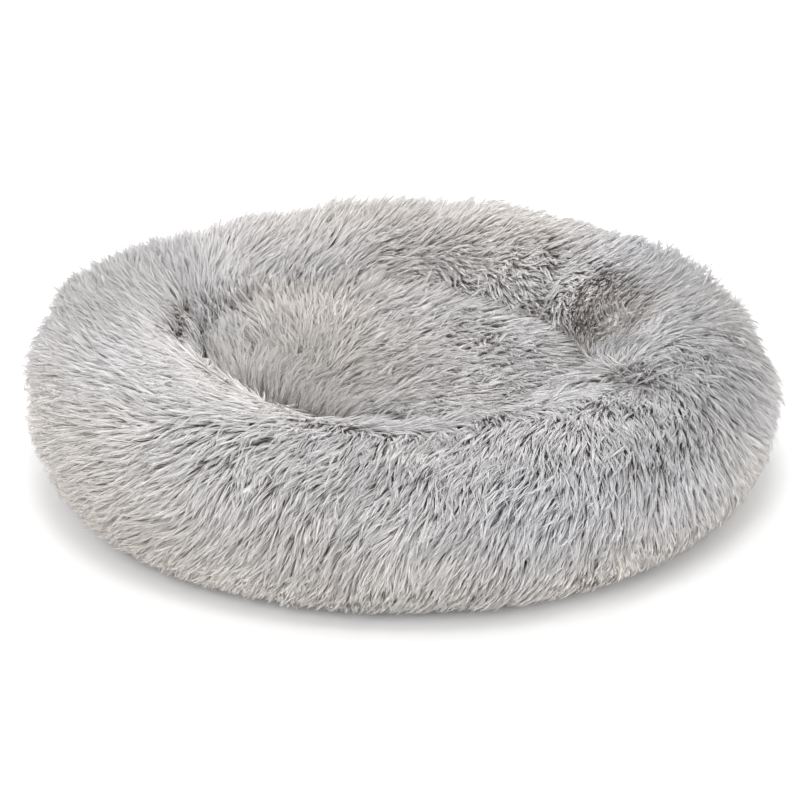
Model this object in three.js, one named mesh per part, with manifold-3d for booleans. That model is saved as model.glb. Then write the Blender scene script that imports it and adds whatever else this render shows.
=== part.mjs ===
// Round "donut" pet bed: a long-pile cover over a filled ring bolster and a filled
// centre cushion, closed below by a two-piece cloth base with a zip across it.
// Units are millimetres, +Z is up, the bed stands on z = 0 and the origin is under
// the middle of its outline.
import * as THREE from 'three';
import { mergeVertices } from 'three/addons/utils/BufferGeometryUtils.js';
import Module from 'manifold-3d';

const wasm = await Module();
wasm.setup();

// ---------------------------------------------------------------- dimensions
// The bolster is hand filled, so its plan, its width and its height wander a
// little round the ring. Each wave holds cos and sin terms of 1, 2 and 3 turns.
const RING_RADIUS = 282;
const RING_WAVE = [10.0, -14.6, -0.3, -5.1, 2.5, -4.6];
const RIM_HALF_WIDTH = 87.6;
const WIDTH_WAVE = [5.4, -11.0, -2.5, 1.5, -1.2, -5.3];
const RIM_MID_HEIGHT = 88.0;
const HEIGHT_WAVE = [-1.9, -6.0, 7.1, 2.1, -1.8, -2.3];
const RIM_TOP_DROP = 10;            // the top is this much below twice the mid height
const LOWER_POWER = 2.5;            // how square the lower half of the section is
const OUTLINE_CENTRE_X = 17.225;    // middle of the outline, from the ring's centre
const OUTLINE_CENTRE_Y = -15.700;

const AROUND = 32;                  // facets round the ring
const STEP = 18;                    // degrees between points of a section
const SEAM_OUT = -72;               // section angle of the seam at the base
const SEAM_IN = 198;                // section angle of the seam at the centre cushion

const PILE_MAT = 16;                // backing cloth and the dense part of the pile
const SLACK = 0.6;                  // air between a cover and what it holds
const LINER = 1.3;                  // liner cloth
const BASE_CLOTH = 1.5;

const FLOOR_TOP = 94;               // crown of the centre cushion's cover
const FLOOR_PILE = 14;
const FLOOR_ROUND = 5;              // power of the cushion's shoulder
const FLOOR_UNDER = 8.4;            // underside of the centre cushion, clear of the zip
const LINER_HOLE = 20;              // radius of the filling hole under the cushion

const BINDING_W = 4.0, BINDING_Z0 = 0.3, BINDING_Z1 = 3.8;

const ZIP_TAPE_HALF = 210, ZIP_COIL_HALF = 199;
const ZIP_TRAVEL_END = 190;         // slider's centre at each end of its run
const TROUGH_HALF = 218;            // recess in the base cloth that the zip lies in
const TROUGH_OUT = 27, TROUGH_IN = 15, LIP_EDGE = 8;
const TROUGH_RISE = 2.6;
const COIL_GAP = 0.5, COIL_W = 2.2, COIL_Z0 = 3.7, COIL_H = 2.0;
const TAPE_Z0 = 4.4, TAPE_T = 0.6, TAPE_IN = 3.0, TAPE_OUT = 16;
const SLIDER_L = 9, SLIDER_HALF_W = 4.6;
const PULL_PIN_Z = 1.4, PULL_LENGTH = 22, PULL_HALF_W = 3.4, PULL_T = 0.8;

// ---------------------------------------------------------------- the ring
const wave = (c, t) => c[0] * Math.cos(t) + c[1] * Math.sin(t)
  + c[2] * Math.cos(2 * t) + c[3] * Math.sin(2 * t)
  + c[4] * Math.cos(3 * t) + c[5] * Math.sin(3 * t);
const ringRadius = (t) => RING_RADIUS + wave(RING_WAVE, t);
const halfWidth = (t) => RIM_HALF_WIDTH + wave(WIDTH_WAVE, t);
const midHeight = (t) => RIM_MID_HEIGHT + wave(HEIGHT_WAVE, t);

// A point of the bolster's section at azimuth t and section angle deg, as [r, z].
// 0 is its outermost point, 90 its top, 180 its innermost. inset goes into the
// bolster, clear is how high its underside is above the ground.
function rimPoint(t, deg, inset, clear) {
  const phi = THREE.MathUtils.degToRad(deg);
  const c = Math.cos(phi), s = Math.sin(phi);
  const a = halfWidth(t) - inset, b = midHeight(t);
  if (s >= -1e-12) return [ringRadius(t) + a * c, b + (b - RIM_TOP_DROP - inset) * s];
  const q = 2 / LOWER_POWER;
  return [ringRadius(t) + a * Math.sign(c) * Math.abs(c) ** q,
    b - (b - clear) * Math.abs(s) ** q];
}
const creaseZ = (t) => rimPoint(t, SEAM_IN, 0, 0.8)[1];
const floorEdge = (t) => ringRadius(t) - halfWidth(t) - 1.2;
const baseEdge = (t) => rimPoint(t, SEAM_OUT, 0, 0.8)[0];

function range(a, b, step) {
  const out = [];
  for (let x = a; x < b - 1e-6; x += step) out.push(x);
  out.push(b);
  return out;
}

// ---------------------------------------------------------------- mesh helpers
function closedGeometry(positions, index) {
  const g = new THREE.BufferGeometry();
  g.setAttribute('position', new THREE.Float32BufferAttribute(positions, 3));
  g.setIndex(index);
  g.computeVertexNormals();
  return g;
}

// A ring whose section, a closed anticlockwise loop of [r, z], may change with azimuth.
function ringSolid(section) {
  const positions = [], index = [];
  let n = 0;
  for (let i = 0; i < AROUND; i++) {
    const t = (i / AROUND) * Math.PI * 2;
    const loop = section(t);
    n = loop.length;
    for (const [r, z] of loop) positions.push(r * Math.cos(t), r * Math.sin(t), z);
  }
  for (let i = 0; i < AROUND; i++) {
    const a = i * n, b = ((i + 1) % AROUND) * n;
    for (let k = 0; k < n; k++) {
      const k2 = (k + 1) % n;
      index.push(a + k, b + k, b + k2, a + k, b + k2, a + k2);
    }
  }
  return closedGeometry(positions, index);
}

// A solid that closes on the axis: section runs from the axis below to the axis above.
function discSolid(section) {
  const positions = [], index = [];
  const first = section(0);
  const n = first.length - 2;
  const low = first[0][1], high = first[first.length - 1][1];
  for (let i = 0; i < AROUND; i++) {
    const t = (i / AROUND) * Math.PI * 2;
    const line = section(t).slice(1, -1);
    for (const [r, z] of line) positions.push(r * Math.cos(t), r * Math.sin(t), z);
  }
  const bottom = positions.length / 3;
  positions.push(0, 0, low);
  const top = bottom + 1;
  positions.push(0, 0, high);
  for (let i = 0; i < AROUND; i++) {
    const a = i * n, b = ((i + 1) % AROUND) * n;
    for (let k = 0; k < n - 1; k++) {
      index.push(a + k, b + k, b + k + 1, a + k, b + k + 1, a + k + 1);
    }
    index.push(bottom, b, a);
    index.push(top, a + n - 1, b + n - 1);
  }
  return closedGeometry(positions, index);
}

function toManifold(geometry) {
  let g = geometry.index ? geometry.toNonIndexed() : geometry.clone();
  g.deleteAttribute('normal');
  g.deleteAttribute('uv');
  g = mergeVertices(g, 1e-4);
  return new wasm.Manifold(new wasm.Mesh({
    numProp: 3,
    vertProperties: new Float32Array(g.attributes.position.array),
    triVerts: new Uint32Array(g.index.array),
  }));
}
function fromManifold(solid) {
  const m = solid.getMesh();
  const g = new THREE.BufferGeometry();
  g.setAttribute('position', new THREE.BufferAttribute(new Float32Array(m.vertProperties), 3));
  g.setIndex(new THREE.BufferAttribute(new Uint32Array(m.triVerts), 1));
  g.computeVertexNormals();
  return g;
}
function block(x0, x1, y0, y1, z0, z1) {
  const g = new THREE.BoxGeometry(x1 - x0, y1 - y0, z1 - z0);
  g.translate((x0 + x1) / 2, (y0 + y1) / 2, (z0 + z1) / 2);
  return g;
}
const join = (...gs) => gs.map(toManifold).reduce((a, b) => a.add(b));

// ---------------------------------------------------------------- assembly
const bed = new THREE.Group();
const shifted = new THREE.Group();
shifted.position.set(-OUTLINE_CENTRE_X, -OUTLINE_CENTRE_Y, 0);
bed.add(shifted);
function piece(name, geometry, color, roughness, metalness = 0) {
  const mesh = new THREE.Mesh(geometry,
    new THREE.MeshStandardMaterial({ color, roughness, metalness }));
  mesh.name = name;
  shifted.add(mesh);
  return mesh;
}
const FUR = 0xb7b4b2, LINER_WHITE = 0xe9e7e2, FIBRE = 0xf4f3ef, BASE = 0x8d8b8a;

// Bolster: a pile cover open below, where the base cloth closes it.
const coverAngles = range(SEAM_OUT, SEAM_IN, STEP);
piece('rim_cover', ringSolid((t) => [
  ...coverAngles.map((d) => rimPoint(t, d, 0, 0.8)),
  ...coverAngles.slice().reverse().map((d) => rimPoint(t, d, PILE_MAT, 1.4)),
]), FUR, 0.95);

// Its liner is a ring-shaped bag, with the filling slit left along the underside.
const linerAngles = [-88, ...range(SEAM_OUT, 252, STEP), 268];
piece('rim_liner', ringSolid((t) => [
  ...linerAngles.map((d) => rimPoint(t, d, PILE_MAT + SLACK, 2.2)),
  ...linerAngles.slice().reverse().map((d) => rimPoint(t, d, PILE_MAT + SLACK + LINER, 3.5)),
]), LINER_WHITE, 0.9);

const fillAngles = [-90, ...range(SEAM_OUT, 252, STEP)];
piece('rim_fill', ringSolid((t) =>
  fillAngles.map((d) => rimPoint(t, d, PILE_MAT + 2 * SLACK + LINER, 4.1))),
FIBRE, 1.0);

// Centre cushion: crown and shoulder, shared by the cover, the liner and the filling.
const CROWN = [0.25, 0.5, 0.68, 0.8, 0.88, 0.94, 0.98, 1.0];
function crown(t, inset, u) {
  const low = creaseZ(t) + 2.6;
  return [u * (floorEdge(t) - inset),
    low + (FLOOR_TOP - inset - low) * Math.sqrt(1 - u ** FLOOR_ROUND)];
}
piece('floor_cover', discSolid((t) => [
  [0, FLOOR_TOP - FLOOR_PILE],
  ...CROWN.map((u) => crown(t, FLOOR_PILE, u)),
  ...CROWN.slice().reverse().map((u) => crown(t, 0, u)),
  [0, FLOOR_TOP],
]), FUR, 0.95);

// The cushion's side follows the hollow under the bolster's inner edge, inset along
// its own normals.
function side(t, inset) {
  const z = creaseZ(t);
  const a = rimPoint(t, 216, PILE_MAT - 1, 1);
  const b = rimPoint(t, 234, PILE_MAT - 1, 1);
  return [
    [b[0] + 4 - 2.25 * inset, FLOOR_UNDER + inset],
    [b[0] - 0.74 * inset, b[1] + 1 - 0.67 * inset],
    [a[0] - 1 - 0.64 * inset, a[1] - 0.77 * inset],
    [floorEdge(t) - 0.48 * inset, z - 5.5 - 0.88 * inset],
  ];
}
const shoulder = (t, extra, inset, u, isEnd) => {
  const [r, z] = crown(t, extra + inset, u);
  return [r, isEnd ? z - 1 - 0.63 * inset : z];
};
const linerTop = FLOOR_PILE + SLACK;
piece('floor_liner', ringSolid((t) => [
  [LINER_HOLE, FLOOR_UNDER],
  ...side(t, 0),
  ...CROWN.slice().reverse().map((u, i) => shoulder(t, linerTop, 0, u, i === 0)),
  [LINER_HOLE, FLOOR_TOP - linerTop],
  [LINER_HOLE, FLOOR_TOP - linerTop - LINER],
  ...CROWN.map((u, i) => shoulder(t, linerTop, LINER, u, i === CROWN.length - 1)),
  ...side(t, LINER).reverse(),
  [LINER_HOLE, FLOOR_UNDER + LINER],
]), LINER_WHITE, 0.9);

piece('floor_fill', discSolid((t) => [
  [0, FLOOR_UNDER + LINER + SLACK],
  ...side(t, LINER + SLACK),
  ...CROWN.slice().reverse().map((u, i) => shoulder(t, linerTop, LINER + SLACK, u, i === 0)),
  [0, FLOOR_TOP - linerTop - LINER - SLACK],
]), FIBRE, 1.0);

// Seam tape that joins the bolster's cover to the centre cushion's cover.
piece('inner_seam_tape', ringSolid((t) => {
  const r = floorEdge(t), z = creaseZ(t);
  return [[r - 1, z - 3.4], [r + 9, z - 3.4], [r + 9, z - 0.6], [r - 1, z - 0.6]];
}), 0xc9c6c2, 0.9);

// Base cloth in two halves, with the zip's recess along the join.
function halfDisc(sign) {
  const shape = new THREE.Shape();
  const pts = [];
  const n = AROUND / 2;
  const edge = (t) => {
    const i = Math.floor((t / (Math.PI * 2)) * AROUND + 1e-6);
    const t0 = (i / AROUND) * Math.PI * 2;
    return [baseEdge(t0) * Math.cos(t0), baseEdge(t0) * Math.sin(t0)];
  };
  for (let i = 0; i <= n; i++) {
    const p = edge(sign > 0 ? (i / AROUND) * Math.PI * 2 : ((i + n) % AROUND / AROUND) * Math.PI * 2);
    pts.push([p[0], i === 0 || i === n ? 0 : p[1]]);
  }
  pts.forEach(([x, y], i) => {
    const yy = i === 0 || i === n ? sign * 0.2 : y;
    if (i === 0) shape.moveTo(x, yy); else shape.lineTo(x, yy);
  });
  shape.closePath();
  const sheet = new THREE.ExtrudeGeometry(shape, { depth: BASE_CLOTH, bevelEnabled: false });
  const slot = block(-TROUGH_HALF, TROUGH_HALF, Math.min(0, sign * TROUGH_OUT) - (sign > 0 ? 1 : 0),
    Math.max(0, sign * TROUGH_OUT) + (sign > 0 ? 0 : 1), -1, BASE_CLOTH + 1);
  const lip = new THREE.Shape();
  [[TROUGH_OUT + 1, 0], [TROUGH_OUT + 1, BASE_CLOTH], [TROUGH_OUT, BASE_CLOTH],
    [TROUGH_IN, BASE_CLOTH + TROUGH_RISE], [LIP_EDGE, BASE_CLOTH + TROUGH_RISE],
    [LIP_EDGE, TROUGH_RISE], [TROUGH_IN, TROUGH_RISE], [TROUGH_OUT, 0]].forEach(([y, z], i) => {
    if (i === 0) lip.moveTo(y, z); else lip.lineTo(y, z);
  });
  lip.closePath();
  const strip = new THREE.ExtrudeGeometry(lip, { depth: 2 * TROUGH_HALF, bevelEnabled: false });
  // shape axes are (y, z) and the depth runs along x
  const m = new THREE.Matrix4().set(
    0, 0, 1, -TROUGH_HALF,
    1, 0, 0, 0,
    0, 1, 0, 0,
    0, 0, 0, 1);
  strip.applyMatrix4(m);
  if (sign < 0) strip.rotateZ(Math.PI);
  return fromManifold(toManifold(sheet).subtract(toManifold(slot)).add(toManifold(strip)));
}
piece('base_panel_rear', halfDisc(1), BASE, 0.85);
piece('base_panel_front', halfDisc(-1), BASE, 0.85);

// Binding round the edge of the base, where the cover is sewn to it.
piece('base_binding', ringSolid((t) => {
  const r = baseEdge(t) + 0.6;
  return [[r, BINDING_Z0], [r + BINDING_W, BINDING_Z0], [r + BINDING_W, BINDING_Z1], [r, BINDING_Z1]];
}), 0x9a9795, 0.85);

// Blank care label, sewn in under the rear edge.
const labelY = baseEdge(Math.PI / 2) + BINDING_W + 1.2;
piece('care_label', block(-18, 18, labelY, labelY + 32, 0.2, 0.9), 0xf2f0ec, 0.7);

// ---------------------------------------------------------------- the zip
for (const [name, s] of [['rear', 1], ['front', -1]]) {
  const y = (a, b) => (s > 0 ? [a, b] : [-b, -a]);
  const [t0, t1] = y(TAPE_IN, TAPE_OUT);
  piece(`zip_tape_${name}`, block(-ZIP_TAPE_HALF, ZIP_TAPE_HALF, t0, t1, TAPE_Z0, TAPE_Z0 + TAPE_T),
    0xa3a09d, 0.85);
  const [c0, c1] = y(COIL_GAP, COIL_GAP + COIL_W);
  piece(`zip_coil_${name}`, block(-ZIP_COIL_HALF, ZIP_COIL_HALF, c0, c1, COIL_Z0, COIL_Z0 + COIL_H),
    0xb0adaa, 0.5);
}
for (const [name, s] of [['closed_end', 1], ['open_end', -1]]) {
  const x0 = ZIP_COIL_HALF + 0.4, x1 = x0 + 2.4;
  piece(`zip_stop_${name}`, block(s > 0 ? x0 : -x1, s > 0 ? x1 : -x0, -2.7, 2.7, 3.5, 6.0),
    0x8f8d8b, 0.4, 0.6);
}

// Slider: two plates joined by a divider that runs in the gap between the coils,
// flanges that hold the coils in, and a bridge below for the pull.
const sx = ZIP_TRAVEL_END;
const h = SLIDER_L / 2, w = SLIDER_HALF_W;
const plate = (z0, z1) => {
  const s = new THREE.Shape();
  s.moveTo(-h, -w + 1.2); s.lineTo(-h + 1.2, -w); s.lineTo(h - 2.4, -w); s.lineTo(h, -w + 1.6);
  s.lineTo(h, w - 1.6); s.lineTo(h - 2.4, w); s.lineTo(-h + 1.2, w); s.lineTo(-h, w - 1.2);
  s.closePath();
  const g = new THREE.ExtrudeGeometry(s, { depth: z1 - z0, bevelEnabled: false });
  g.translate(0, 0, z0);
  return g;
};
const slider = join(
  plate(2.2, 3.4), plate(6.0, 7.2),
  block(1.4, h - 0.2, -0.3, 0.3, 3.3, 6.1),
  block(-h + 1.2, h - 2.4, 3.3, w, 3.3, 4.1), block(-h + 1.2, h - 2.4, -w, -3.3, 3.3, 4.1),
  block(-h + 1.2, h - 2.4, 3.3, w, 5.3, 6.1), block(-h + 1.2, h - 2.4, -w, -3.3, 5.3, 6.1),
  block(-2.6, -1.6, -0.6, 0.6, 0.2, 2.3), block(1.6, 2.6, -0.6, 0.6, 0.2, 2.3),
  block(-2.6, 2.6, -0.6, 0.6, 0.2, 0.7));
piece('zip_slider', fromManifold(slider), 0x8f8d8b, 0.35, 0.8).position.set(sx, 0, 0);

// Pull: a crossbar through the bridge, two arms beside it and a tab with an eye.
const p0 = PULL_PIN_Z - PULL_T / 2, p1 = PULL_PIN_Z + PULL_T / 2;
const tab = new THREE.Shape();
[[-5, PULL_HALF_W - 0.8], [-6.4, PULL_HALF_W], [-PULL_LENGTH + 2, PULL_HALF_W],
  [-PULL_LENGTH, PULL_HALF_W - 2], [-PULL_LENGTH, -PULL_HALF_W + 2],
  [-PULL_LENGTH + 2, -PULL_HALF_W], [-6.4, -PULL_HALF_W], [-5, -PULL_HALF_W + 0.8]].forEach(([x, y], i) => {
  if (i === 0) tab.moveTo(x, y); else tab.lineTo(x, y);
});
tab.closePath();
const eye = new THREE.Path();
for (let i = 0; i < 12; i++) {
  const a = (-i / 12) * Math.PI * 2;
  const x = -PULL_LENGTH + 5 + 1.6 * Math.cos(a), y = 1.6 * Math.sin(a);
  if (i === 0) eye.moveTo(x, y); else eye.lineTo(x, y);
}
eye.closePath();
tab.holes.push(eye);
const tabGeometry = new THREE.ExtrudeGeometry(tab, { depth: PULL_T, bevelEnabled: false });
tabGeometry.translate(0, 0, p0);
const pull = join(
  block(-0.4, 0.4, -2.4, 2.4, p0, p1),
  block(-5.4, 0.4, 1.2, 2.4, p0, p1), block(-5.4, 0.4, -2.4, -1.2, p0, p1),
  tabGeometry);
piece('zip_pull', fromManifold(pull), 0x8f8d8b, 0.35, 0.8).position.set(sx, 0, 0);

export default bed;
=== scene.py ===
import math

import bmesh
import bpy
import numpy as np
from mathutils import Matrix, Vector, kdtree


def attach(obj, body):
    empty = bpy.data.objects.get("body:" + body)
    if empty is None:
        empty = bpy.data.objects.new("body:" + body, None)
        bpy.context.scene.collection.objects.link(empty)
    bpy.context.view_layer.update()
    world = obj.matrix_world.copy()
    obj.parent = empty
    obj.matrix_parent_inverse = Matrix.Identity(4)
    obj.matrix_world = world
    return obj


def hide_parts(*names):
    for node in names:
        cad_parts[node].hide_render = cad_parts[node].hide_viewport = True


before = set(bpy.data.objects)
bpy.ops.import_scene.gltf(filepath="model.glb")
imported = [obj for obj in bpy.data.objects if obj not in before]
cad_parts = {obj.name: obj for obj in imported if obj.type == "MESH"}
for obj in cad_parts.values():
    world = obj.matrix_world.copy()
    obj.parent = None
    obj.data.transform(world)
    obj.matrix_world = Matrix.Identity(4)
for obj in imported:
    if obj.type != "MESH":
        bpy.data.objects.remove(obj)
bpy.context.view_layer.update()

MM = 0.001
scene = bpy.context.scene

# ------------------------------------------------------------------ the bed's form
# The same section law as the CAD solids: a ring whose plan, width and height wander.
RING_RADIUS, RING_WAVE = 282.0, (10.0, -14.6, -0.3, -5.1, 2.5, -4.6)
HALF_WIDTH, WIDTH_WAVE = 87.6, (5.4, -11.0, -2.5, 1.5, -1.2, -5.3)
MID_HEIGHT, HEIGHT_WAVE = 88.0, (-1.9, -6.0, 7.1, 2.1, -1.8, -2.3)
TOP_DROP, LOWER_POWER = 10.0, 2.5
CENTRE = np.array([-17.225, 15.700])
SEAM_OUT, SEAM_IN = -72.0, 198.0
FLOOR_TOP = 94.0
SKIN_INSET = 14.0          # the backing cloth lies this far inside the CAD cover's face


def wave(c, t):
    return (c[0] * np.cos(t) + c[1] * np.sin(t) + c[2] * np.cos(2 * t)
            + c[3] * np.sin(2 * t) + c[4] * np.cos(3 * t) + c[5] * np.sin(3 * t))


def ring_radius(t):
    return RING_RADIUS + wave(RING_WAVE, t)


def half_width(t):
    return HALF_WIDTH + wave(WIDTH_WAVE, t)


def mid_height(t):
    return MID_HEIGHT + wave(HEIGHT_WAVE, t)


def rim_rz(t, deg, inset, clear=1.4):
    t, deg = np.broadcast_arrays(np.asarray(t, float), np.asarray(deg, float))
    phi = np.radians(deg)
    c, s = np.cos(phi), np.sin(phi)
    a, b = half_width(t) - inset, mid_height(t)
    q = 2 / LOWER_POWER
    up = s >= 0
    r = ring_radius(t) + np.where(up, a * c, a * np.sign(c) * np.abs(c) ** q)
    z = np.where(up, b + (b - TOP_DROP - inset) * s, b - (b - clear) * np.abs(s) ** q)
    return r, z


def rim_point(t, deg, inset, clear=1.4):
    r, z = rim_rz(t, deg, inset, clear)
    return np.stack([r * np.cos(t) + CENTRE[0], r * np.sin(t) + CENTRE[1], z], -1)


def crease_z(t):
    return rim_rz(t, SEAM_IN, 0.0, 0.8)[1]


def floor_edge(t):
    return ring_radius(t) - half_width(t) - 1.2


def floor_point(t, u, inset):
    low = crease_z(t) + 2.6
    r = u * (floor_edge(t) - inset)
    z = low + (FLOOR_TOP - inset - low + 9 * smooth(u, 0.35, 0.85)) * np.sqrt(np.clip(1 - u ** 12, 0, 1))
    return np.stack([r * np.cos(t) + CENTRE[0], r * np.sin(t) + CENTRE[1],
                     np.broadcast_to(z, r.shape)], -1)


def smooth(x, lo, hi):
    w = np.clip((x - lo) / (hi - lo), 0, 1)
    return w * w * (3 - 2 * w)


def unit(v):
    return v / np.maximum(np.linalg.norm(v, axis=-1, keepdims=True), 1e-9)


# ------------------------------------------------------------------ camera
ELEVATION = math.radians(26.5)
AIM = Vector((CENTRE[0] * MM, CENTRE[1] * MM, 0.080))
BACK = Vector((0, -math.cos(ELEVATION), math.sin(ELEVATION)))
RIGHT = Vector((1, 0, 0))
UP = Vector((0, math.sin(ELEVATION), math.cos(ELEVATION)))
cam_data = bpy.data.cameras.new("camera")
cam = bpy.data.objects.new("camera", cam_data)
scene.collection.objects.link(cam)
cam_data.sensor_width = 36
cam_data.lens = 99
cam.location = AIM + BACK * 2.300
look = (AIM + RIGHT * 0.0154 - UP * 0.0321) - cam.location
cam.rotation_mode = "QUATERNION"
cam.rotation_quaternion = look.to_track_quat("-Z", "Y")
cam_data.clip_start, cam_data.clip_end = 0.05, 60
scene.camera = cam

# ------------------------------------------------------------------ pile direction
# Which way the pile is brushed, as seen from the front: x and y across the front view
# (0 to 800, y down) and the direction of the tips, anticlockwise from the right.
RIM_COMB = [
    (45, 400, 181), (60, 440, 187), (75, 480, 193), (110, 510, 198), (150, 540, 205), (50, 365, 168),
    (75, 320, 132), (110, 285, 118), (110, 350, 136), (150, 265, 94), (150, 332, 128), (190, 245, 82),
    (145, 376, 147), (110, 402, 170), (110, 455, 190), (180, 402, 152), (180, 442, 186), (170, 490, 200),
    (215, 235, 74), (215, 290, 60), (250, 225, 66), (255, 270, 46), (200, 332, 125), (190, 366, 142), (285, 240, 66),
    (320, 230, 62), (330, 258, 34), (355, 225, 54), (390, 225, 50), (390, 260, 20),
    (425, 215, 62), (425, 250, 30), (410, 272, 350), (440, 276, 338), (470, 280, 328), (460, 225, 55), (480, 258, 8), (495, 230, 36), (530, 225, 36), (530, 258, 14),
    (500, 289, 322), (530, 296, 318), (552, 300, 318), (545, 278, 336), (565, 235, 38), (600, 250, 42), (640, 265, 62), (675, 270, 76), (705, 290, 58),
    (735, 315, 40), (755, 345, 352), (760, 380, 345), (690, 328, 52), (655, 315, 50), (722, 350, 336), (690, 350, 350),
    (755, 430, 334), (750, 480, 332), (725, 525, 322), (705, 362, 336), (672, 374, 322), (640, 345, 46), (610, 350, 60),
    (600, 382, 184), (560, 384, 184), (578, 398, 202), (606, 396, 222), (624, 400, 252), (638, 398, 274), (654, 394, 294),
    (676, 398, 304), (700, 395, 314), (735, 402, 328),
    (215, 400, 145), (250, 420, 152), (285, 422, 157), (215, 445, 196), (250, 460, 212), (215, 490, 226), (180, 540, 222), (250, 540, 232),
    (320, 424, 172), (345, 422, 177), (320, 450, 200), (300, 500, 230), (300, 560, 240), (355, 442, 190), (355, 500, 226), (355, 560, 245),
    (390, 412, 181), (425, 410, 181), (460, 406, 181), (495, 402, 181), (530, 396, 184), (400, 450, 205), (450, 450, 212), (495, 450, 222),
    (425, 500, 232), (425, 555, 250), (480, 500, 232), (480, 555, 252), (530, 445, 232), (530, 500, 242), (530, 560, 252),
    (560, 425, 226), (565, 480, 252), (565, 550, 256), (590, 425, 248), (612, 420, 260), (600, 460, 266),
    (600, 530, 274), (640, 425, 280), (635, 480, 284), (635, 550, 288), (670, 430, 286), (670, 500, 290), (705, 430, 318),
    (705, 490, 300), (720, 540, 320),
]
FLOOR_COMB = [
    (250, 288, 47), (285, 288, 62), (320, 288, 62), (355, 288, 62), (390, 288, 52), (425, 288, 30), (460, 288, 4),
    (495, 288, 347), (530, 292, 10), (215, 320, 60), (250, 310, 120), (285, 310, 100), (320, 310, 81), (355, 310, 53),
    (390, 310, 30), (425, 310, 38), (460, 310, 22), (495, 310, 14), (530, 315, 4), (560, 320, 20), (225, 335, 110), (250, 332, 138),
    (285, 332, 97), (320, 332, 60), (355, 332, 42), (390, 332, 32), (425, 332, 24), (460, 332, 17), (495, 332, 17),
    (530, 332, 10), (560, 340, 6), (235, 354, 112), (250, 354, 140), (285, 354, 105), (320, 354, 63), (355, 354, 26),
    (390, 354, 33), (425, 354, 24), (460, 354, 13), (495, 354, 10), (530, 354, 8), (560, 356, 356), (270, 376, 83),
    (300, 376, 57), (355, 376, 20), (390, 376, 26), (425, 376, 12), (460, 376, 7), (520, 372, 8), (320, 396, 54),
    (360, 400, 22), (420, 398, 4),
]


def table(rows):
    a = np.radians([r[2] for r in rows])
    return np.array([r[:2] for r in rows], float), np.stack([np.cos(a), np.sin(a)], 1)


RIM_COMB, FLOOR_COMB = table(RIM_COMB), table(FLOOR_COMB)

E = ELEVATION
VIEW_BACK = np.array([0, -math.cos(E), math.sin(E)])
VIEW_UP = np.array([0, math.sin(E), math.cos(E)])
VIEW_RIGHT = np.array([1.0, 0, 0])
VIEW_AIM = np.array([CENTRE[0], CENTRE[1], 80.0])


def front_view(p):
    """Where points, in mm, fall across the front view."""
    d = p - VIEW_AIM
    z = 2300 - d @ VIEW_BACK
    return np.stack([385.3 + (d @ VIEW_RIGHT) * 2200 / z, 369.3 - (d @ VIEW_UP) * 2200 / z], -1)


def blob(xy, x, y, rx, ry):
    """A soft spot on the front view, 1 in the middle and 0 outside."""
    d = np.hypot((xy[:, 0] - x) / rx, (xy[:, 1] - y) / ry)
    w = np.clip((1.15 - d) / 0.55, 0, 1)
    return w * w * (3 - 2 * w)


def combed(p, n, fallback, comb_table, lift):
    """The brushed direction at points p with normals n: the table above where the front view
    sees them, and the fallback tangent elsewhere. lift is the pile's mean angle above the
    cloth. The second result says how well the table's entries agree there, from 0 at a parting
    to 1, and the third how much of the lift is kept, so that the raised pile still runs the
    way the table says in the front view."""
    xy = front_view(p)
    out = np.zeros((len(p), 2))
    for i in range(0, len(p), 20000):
        d2 = ((xy[i:i + 20000, None] - comb_table[0][None]) ** 2).sum(2)
        w = 1 / (d2 + 140) ** 2
        out[i:i + 20000] = (w / w.sum(1, keepdims=True)) @ comb_table[1]
    agree = np.linalg.norm(out, axis=1)
    out = unit(out)
    facing = n @ VIEW_BACK
    v = out[:, :1] * VIEW_RIGHT + out[:, 1:] * VIEW_UP
    w = -out[:, 1:] * VIEW_RIGHT + out[:, :1] * VIEW_UP
    e1 = np.cross(n, np.where(np.abs(n[:, :1]) < 0.8, [[1.0, 0, 0]], [[0, 1.0, 0]]))
    e1 = unit(e1)
    e2 = np.cross(n, e1)
    a1, a2 = (e1 * w).sum(1), (e2 * w).sum(1)
    size, phase = np.maximum(np.hypot(a1, a2), 1e-4), np.arctan2(a2, a1)
    nw, nv = (n * w).sum(1), (n * v).sum(1)
    shares = (1.0, 0.90, 0.80, 0.71, 0.63, 0.56, 0.50, 0.45)
    t = np.zeros_like(n)
    kept = np.full(len(n), shares[-1])
    done = np.zeros(len(n), bool)
    for share in shares:
        angle = lift * share
        q = -np.tan(angle) * nw / size
        swing = np.arccos(np.clip(q, -1, 1))
        runs, best = None, None
        for sign in (1, -1):
            th = phase + sign * swing
            cand = np.cos(th)[:, None] * e1 + np.sin(th)[:, None] * e2
            value = np.cos(angle) * (cand * v).sum(1) + np.sin(angle) * nv
            if best is None:
                runs, best = cand, value
            else:
                pick = value > best
                runs = np.where(pick[:, None], cand, runs)
                best = np.where(pick, value, best)
        good = ~done & (((np.abs(q) <= 1) & (best > 0.34)) | (share == shares[-1]))
        t[good] = runs[good]
        kept[good] = share
        done |= good
    w = np.clip((facing - 0.02) / 0.3, 0, 1)
    w = w * w * (3 - 2 * w)
    d = p[:, :2] - CENTRE
    inward = ring_radius(np.arctan2(d[:, 1], d[:, 0])) - np.hypot(d[:, 0], d[:, 1])
    w = np.maximum(w, smooth(inward, -15, 6))[:, None]
    mixed = t * w + fallback * (1 - w)
    agree = np.minimum(np.linalg.norm(mixed, axis=1), np.where(w[:, 0] > 0.5, agree, 1))
    mixed = unit(mixed)
    return unit(mixed - (mixed * n).sum(1, keepdims=True) * n), agree, 1 + (kept - 1) * w[:, 0]


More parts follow.
